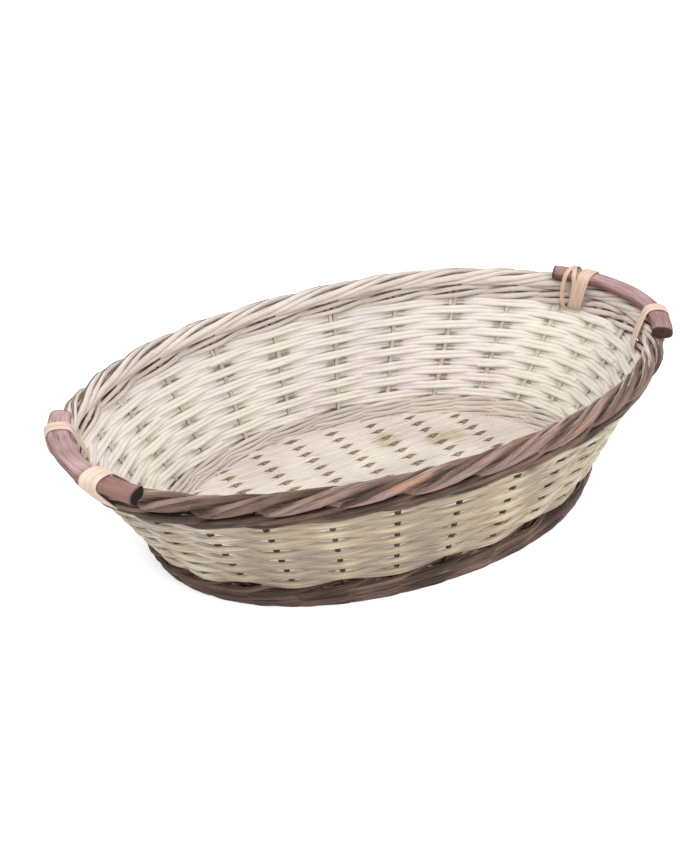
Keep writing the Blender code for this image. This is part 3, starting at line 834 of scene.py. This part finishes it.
base_rods = []
base_bulges = []
for row in range(BASE_ROWS):
    for beside in (-HALF_PAIR, HALF_PAIR):
        y = (row - (BASE_ROWS - 1) / 2.0) * BASE_PITCH + beside
        rod_inset = 3.2 + seed.uniform(0.0, 1.2)
        half = half_chord(BASE_HALF_LENGTH - rod_inset, y, BASE_HALF_WIDTH - 3.0)
        x = np.linspace(-half, half, int(half / 1.6))
        side = 1.0 if row % 2 else -1.0
        past_last = step_between(LAST_STICK + 4.0, LAST_STICK + 16.0, abs(x))
        wave = np.cos(math.pi * (x - STICK_SPACING / 2.0) / STICK_SPACING) * (1.0 - past_last)
        tucked_in = step_between(half - 9.0, half, abs(x))
        z = BASE_LEVEL + side * 1.55 * wave ** 7 + wander(x, 0.15, 20.0, 80.0) - 1.6 * tucked_in
        # Painted shade: the rods' sides are darkened near the sticks, in the holes of the weave.
        base_bulges.append(np.array([0.0, 0.0, 1.0]) * np.maximum(abs(wave), 0.74)[:, None])
        path = np.column_stack([x, y + wander(x, 0.35, 30.0, 120.0), z])
        radii = 1.5 * (1.0 + wander(x, 0.06, 20.0, 90.0)) * (1.0 - 0.35 * tucked_in)
        base_rods.append((path, radii, seed.random()))
rod_piece(
    "base_weave_rods",
    base_rods,
    sides=8,
    finish=base_willow,
    washed_and_lit=wash_above,
    nodes=["base_weave"],
    shade_across=np.concatenate(base_bulges),
)


# Handles.
# Two short bars of bent wood, flattened and cut square at both ends, stained a dusky rose brown.
# They lie on the border at the ends of the oval.
BAR_HALF_WIDTH = 6.75
BAR_HALF_HEIGHT = 3.8
BAR_ROUNDNESS = 0.75
BAR_SIDES = 28
HANDLE_LEVEL = 95.82 + BAR_HALF_HEIGHT
HANDLES = {
    "handle_right": {
        "side": 1.0,
        "length": 112.0,
        "bow": 22.0,
        "farthest_x": 201.0,
        "centre_y": -2.5,
        "tone": 0.4,
        "end_grain_and_shade": 1.1,
        "darker_near_end": 0.05,
    },
    "handle_left": {
        "side": -1.0,
        "length": 103.0,
        "bow": 15.5,
        "farthest_x": 206.0,
        "centre_y": -8.0,
        "tone": 0.9,
        "end_grain_and_shade": 1.8,
        "darker_near_end": 0.45,
    },
}

# Its limed colours stand for painted light on the tops of the bars, and its bare colours for painted shade
# beneath.
handle_wood = willow(
    "handle_wood",
    bare=((86, 52, 47), (110, 72, 67), (128, 91, 86), (142, 105, 97)),
    limed_and_lit=((138, 103, 99), (156, 123, 121), (173, 143, 144), (192, 162, 162)),
    marks_and_shade=(24, 8, 7),
    wash_starts=0.7,
    wash_covers=1.3,
    roughness=0.5,
    streaked=0.08,
    cloudy=0.45,
)


def handle_arc(name):
    """Side, centre, radius and half angle of the bow of a handle, in millimetres."""
    bar = HANDLES[name]
    side, bow, half = bar["side"], bar["bow"], bar["length"] / 2.0
    radius = (half * half + bow * bow) / (2.0 * bow)
    centre = Vector((side * (bar["farthest_x"] - radius), bar["centre_y"], HANDLE_LEVEL - 0.5 * side))
    return side, centre, radius, math.asin(half / radius)


def flattened(across, half):
    """A place across a bar's section: across is -1 to 1, and is pushed out towards the corners."""
    return math.copysign(abs(across) ** BAR_ROUNDNESS, across) * half


def bent_bar(side, radius, reach):
    """A bar bent round the origin, its corners eased and its end faces ringed."""
    bar = bmesh.new()
    ring = bmesh.ops.create_circle(bar, segments=BAR_SIDES, radius=1.0, cap_ends=False)["verts"]
    for corner in ring:
        turn = math.atan2(corner.co.y, corner.co.x)
        wide = flattened(math.cos(turn), BAR_HALF_WIDTH)
        high = flattened(math.sin(turn), BAR_HALF_HEIGHT)
        corner.co = Vector((side * (radius + wide), 0.0, high))
    bmesh.ops.rotate(bar, verts=bar.verts, cent=(0, 0, 0), matrix=Matrix.Rotation(-reach, 3, "Z"))
    bmesh.ops.spin(bar, geom=bar.edges[:], cent=(0, 0, 0), axis=(0, 0, 1), angle=2.0 * reach, steps=60)
    bmesh.ops.holes_fill(bar, edges=[edge for edge in bar.edges if edge.is_boundary], sides=BAR_SIDES)
    bmesh.ops.recalc_face_normals(bar, faces=bar.faces)
    rims = [edge for edge in bar.edges if any(len(face.verts) > 4 for face in edge.link_faces)]
    bmesh.ops.bevel(bar, geom=rims, affect="EDGES", offset=0.7, segments=2, profile=0.5, material=-1)
    cap_faces = [face for face in bar.faces if len(face.verts) > 4]
    bmesh.ops.inset_region(bar, faces=cap_faces, thickness=1.6, depth=0.0)
    return bar


for name, look in HANDLES.items():
    side, centre, radius, reach = handle_arc(name)
    bar = bent_bar(side, radius, reach)
    data = bpy.data.meshes.new(name + "_bar")
    bar.to_mesh(data)
    bar.free()
    skin = np.empty(len(data.vertices) * 3)
    data.vertices.foreach_get("co", skin)
    skin = skin.reshape(-1, 3)
    at = np.arctan2(skin[:, 1], side * skin[:, 0])
    over = np.hypot(skin[:, 0], skin[:, 1]) - radius
    along = at * radius
    carved = 1.0 + 0.035 * np.sin(along / 9.0 + 1.3) + 0.025 * np.sin(along / 4.1 + over / 3.0)
    out = np.stack([side * np.cos(at), np.sin(at)], -1)
    skin[:, :2] = out * (radius + over * (0.97 + 0.03 * np.sin(along / 14.0)))[:, None]
    skin[:, 2] *= np.minimum(carved, 1.04)
    high = skin[:, 2].copy()
    skin += np.array(centre)
    data.vertices.foreach_set("co", (skin * MM).ravel())

    # Painted light and shade: each bar is lighter on top and darker beneath. Its end faces are darker, for
    # dark end grain and painted shade, and each bar darkens towards its near end.
    end_face = step_between(reach * radius - 1.2, reach * radius - 0.1, abs(along))
    lime_and_light = 0.45 + 0.45 * high / BAR_HALF_HEIGHT - end_face
    lime_and_light -= look["darker_near_end"] * step_between(-10.0, -36.0, along)
    keep_on_skin(data, "rod_place", np.column_stack([along, over, high]) * MM)
    keep_on_skin(data, "rod_tone", look["tone"] - 0.3 * end_face)
    keep_on_skin(data, "painted_shade", look["end_grain_and_shade"] * end_face)
    keep_on_skin(data, "limewash_and_light", lime_and_light)
    data.shade_smooth()
    data.set_sharp_from_angle(angle=math.radians(50.0))
    piece = finished_piece(name + "_bar", data, handle_wood)
    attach(piece, "root")
    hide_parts(name)


# Lashings.
# Split cane, wound wet round handle, border and rim wale, through the slot above the top row of
# the weave. It dries tight and holds the handle down.
CANE_THICKNESS = 1.1
CANE_STEP = 1.6
ROPE_HALF_SIZE = (8.3, 5.3)
WALE_HALF_SIZE = (6.6, 3.7)
WALE_MIDDLE = 83.38
BAR_HALF_SIZE = (6.9, BAR_HALF_HEIGHT)

lashing_cane = willow(
    "lashing_cane",
    bare=((196, 168, 146), (212, 185, 165), (222, 198, 181), (230, 210, 194)),
    limed_and_lit=((214, 189, 174), (224, 201, 189), (230, 208, 197), (234, 216, 198)),
    marks_and_shade=(140, 106, 84),
    wash_starts=0.8,
    wash_covers=1.4,
    roughness=0.5,
    streaked=0.25,
    cloudy=0.3,
)


def outline_round(points):
    """The points that a tight loop round all the points touches, in order."""
    ordered = sorted(points)
    outline = []
    for line in (ordered, ordered[::-1]):
        side = []
        for point in line:
            while len(side) > 1:
                (ax, ay), (bx, by) = side[-2], side[-1]
                if (bx - ax) * (point[1] - ay) - (by - ay) * (point[0] - ax) > 0.0:
                    break
                side.pop()
            side.append(point)
        outline += side[:-1]
    return outline


def oval(centre_out, centre_up, half_out, half_up):
    """Points (out, up) round an oval."""
    turns = np.linspace(0.0, 2.0 * math.pi, 32, endpoint=False)
    return list(zip(centre_out + half_out * np.cos(turns), centre_up + half_up * np.sin(turns)))


def lashing_loop(name, stake, slack):
    """Loop round handle, border and rim wale at a stake number: middle, outward, points (out, up)."""
    middle = Vector(wall_place(stake, BORDER_HEIGHT))
    outward = Vector(outward_at(np.array(middle)))
    _, centre, radius, _ = handle_arc(name)
    spoke = Vector((middle.x - centre.x, middle.y - centre.y, 0.0))
    handle_out = (spoke.normalized() * radius - spoke).dot(outward)
    skew = spoke.angle(outward)
    wale = Vector(wall_place(stake, WALE_MIDDLE))
    wale_out = (wale - middle).dot(outward)
    points = oval(0.0, middle.z, ROPE_HALF_SIZE[0] + slack, ROPE_HALF_SIZE[1] + slack)
    points += oval(wale_out, wale.z, WALE_HALF_SIZE[0] + slack, WALE_HALF_SIZE[1] + slack)
    for corner_out, corner_up in oval(0.0, 0.0, 1.0, 1.0):
        wide = flattened(corner_out, BAR_HALF_SIZE[0] / math.cos(skew) + slack)
        high = flattened(corner_up, BAR_HALF_SIZE[1] + slack)
        points.append((handle_out + wide, centre.z + high))
    return middle, outward, outline_round(points)


def cane_piece(name, strips, node):
    """Flat strips of cane, each given as points, directions across the strip and width."""
    wound = bmesh.new()
    along_layer = wound.verts.layers.float_vector.new("rod_place")
    tone_layer = wound.verts.layers.float.new("rod_tone")
    lime_layer = wound.verts.layers.float.new("limewash_and_light")
    for points, acrosses, width in strips:
        tone = seed.random()
        begin = seed.uniform(0.0, 5.0)
        travelled = 0.0
        pair = [wound.verts.new(points[0] * MM) for _ in range(2)]
        edge = wound.edges.new(pair)
        for number, (point, across) in enumerate(zip(points, acrosses)):
            if number:
                travelled += (point - points[number - 1]).length
                last = pair
                grown = bmesh.ops.extrude_edge_only(wound, edges=[edge])["geom"]
                pair = [part for part in grown if isinstance(part, bmesh.types.BMVert)]
                edge = wound.edges.get(pair)
                if (pair[0].co - last[0].co).length > (pair[0].co - last[1].co).length:
                    pair.reverse()
            for corner, way in zip(pair, (-0.5, 0.5)):
                corner.co = (point + across * (width * way)) * MM
                corner[along_layer] = Vector((travelled * MM + begin, way * width * MM, 0.0))
                corner[tone_layer] = tone
                corner[lime_layer] = 0.5
    data = bpy.data.meshes.new(name)
    wound.to_mesh(data)
    wound.free()
    data.shade_smooth()
    piece = finished_piece(name, data, lashing_cane)
    thick = piece.modifiers.new("cane_thickness", "SOLIDIFY")
    thick.thickness = CANE_THICKNESS * MM
    thick.offset = 0.0
    rounded = piece.modifiers.new("cane_edges", "BEVEL")
    rounded.width = 0.35 * MM
    rounded.segments = 2
    rounded.limit_method = "ANGLE"
    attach(piece, "root")
    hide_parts(node)


def wound_strip(handle, stake, width, turns, pitch, tilt=0.0, cross=0.0, slack=0.9):
    """One strip wound round the loop at a stake number.

    pitch is its advance along the rim per turn, tilt how far its outer side lies ahead of its
    inner side, cross how far it swings over while it passes them, and slack how far it stands off.
    """
    middle, outward, loop = lashing_loop(handle, stake, slack)
    along = Vector((0.0, 0.0, 1.0)).cross(outward)
    corners = [outward * out + Vector((middle.x, middle.y, up)) for out, up in loop]
    closed = np.array([list(corner) for corner in corners + corners[:1]])
    distance = length_along(closed)
    total = distance[-1]
    start = distance[int(np.argmin([up for _, up in loop]))]
    travel = np.arange(0.0, turns * total, CANE_STEP)
    at = (start + travel) % total
    path = eased(np.column_stack([np.interp(at, distance, closed[:, k]) for k in range(3)]), 2)
    once = 2.0 * math.pi * travel / total
    drift = pitch * (travel / total - turns / 2.0) + tilt * np.cos(once) + cross * np.sin(once)
    points = [Vector(place) + along * moved for place, moved in zip(path, drift)]
    acrosses = []
    for number in range(len(points)):
        run = points[min(number + 1, len(points) - 1)] - points[max(number - 1, 0)]
        flatwise = run.cross(along).normalized()
        acrosses.append(flatwise.cross(run).normalized())
    return points, acrosses, width


right_back_strips = [
    wound_strip("handle_right", 0.55, width=4.6, turns=2.0, pitch=4.2, tilt=1.5),
    wound_strip("handle_right", 0.86, width=3.2, turns=1.0, pitch=1.0, cross=3.8, slack=0.8),
    wound_strip("handle_right", 0.88, width=3.0, turns=1.0, pitch=-1.0, cross=-3.8, slack=1.6),
]
cane_piece("cane_right_back", right_back_strips, "lashing_right_back")
right_front_strip = wound_strip("handle_right", -2.1, width=4.0, turns=2.0, pitch=4.3, tilt=-6.0)
cane_piece("cane_right_front", [right_front_strip], "lashing_right_front")
left_back_strip = wound_strip("handle_left", 11.4, width=3.7, turns=2.0, pitch=4.2)
cane_piece("cane_left_back", [left_back_strip], "lashing_left_back")
left_front_strip = wound_strip("handle_left", 13.45, width=4.0, turns=3.0, pitch=4.2)
cane_piece("cane_left_front", [left_front_strip], "lashing_left_front")
